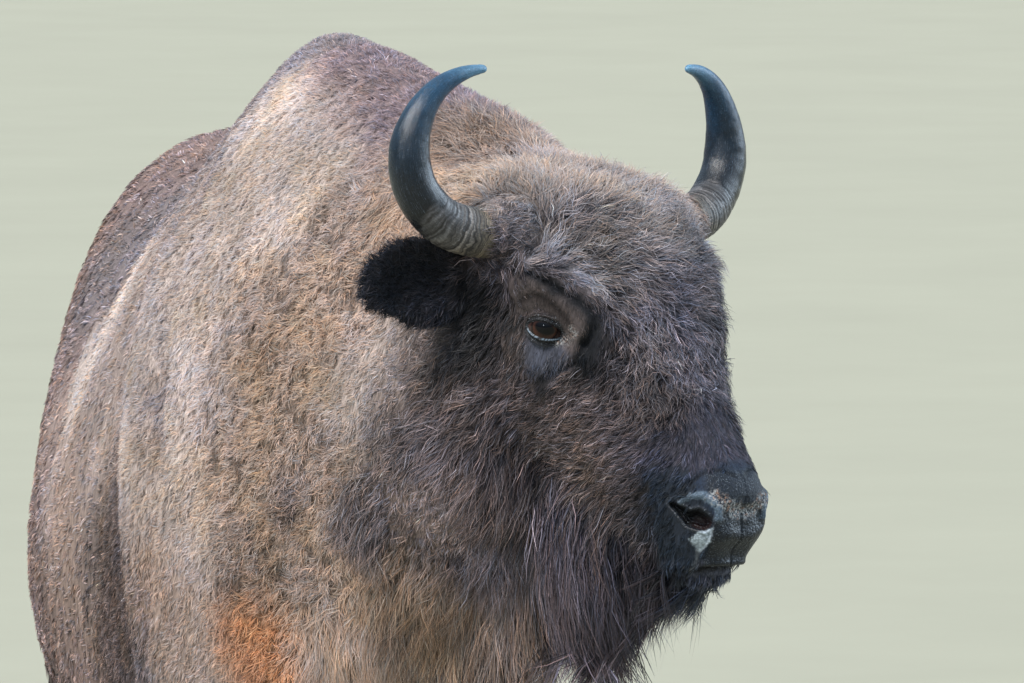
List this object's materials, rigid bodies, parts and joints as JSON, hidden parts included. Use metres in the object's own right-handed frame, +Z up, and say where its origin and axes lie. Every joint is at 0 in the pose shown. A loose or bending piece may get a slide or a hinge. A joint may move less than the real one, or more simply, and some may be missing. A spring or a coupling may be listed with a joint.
{
  "type": "wisent",
  "caption": "Life-size still model of a European bison in winter coat, standing, its head raised and turned to its left.",
  "frame": {"origin": "on the floor, under the middle of the animal's box", "axes": "+Z up, +Y from the head to the tail along the trunk, +X towards the animal's left side"},
  "size_m": [0.7366, 2.3962, 1.6977],
  "materials": {
    "brown_coat": "dense woolly winter fur, matt",
    "head_coat": "shaggy dark fur, matt",
    "mane_hair": "long coarse hair, slight sheen",
    "leg_coat": "short sleek fur, matt",
    "horn": "polished horn, ringed at the base",
    "hoof": "worn dark horn",
    "eye": "wet and glossy"
  },
  "bodies": {
    "root": {"beard": "mane_hair", "claw_foreleg_l_inner": "hoof", "claw_foreleg_l_outer": "hoof", "claw_foreleg_r_inner": "hoof", "claw_foreleg_r_outer": "hoof", "claw_hind_leg_l_inner": "hoof", "claw_hind_leg_l_outer": "hoof", "claw_hind_leg_r_inner": "hoof", "claw_hind_leg_r_outer": "hoof", "dewclaw_foreleg_l_inner": "hoof", "dewclaw_foreleg_l_outer": "hoof", "dewclaw_foreleg_r_inner": "hoof", "dewclaw_foreleg_r_outer": "hoof", "dewclaw_hind_leg_l_inner": "hoof", "dewclaw_hind_leg_l_outer": "hoof", "dewclaw_hind_leg_r_inner": "hoof", "dewclaw_hind_leg_r_outer": "hoof", "ear_l": "head_coat", "ear_r": "head_coat", "eye_l": "eye", "eye_r": "eye", "foreleg_l": "leg_coat", "foreleg_r": "leg_coat", "head": "head_coat", "hind_leg_l": "leg_coat", "hind_leg_r": "leg_coat", "horn_l": "horn", "horn_r": "horn", "neck": "brown_coat", "tail": "brown_coat", "tail_tuft": "mane_hair", "throat_mane": "mane_hair", "trunk": "brown_coat"}
  },
  "joints": []
}
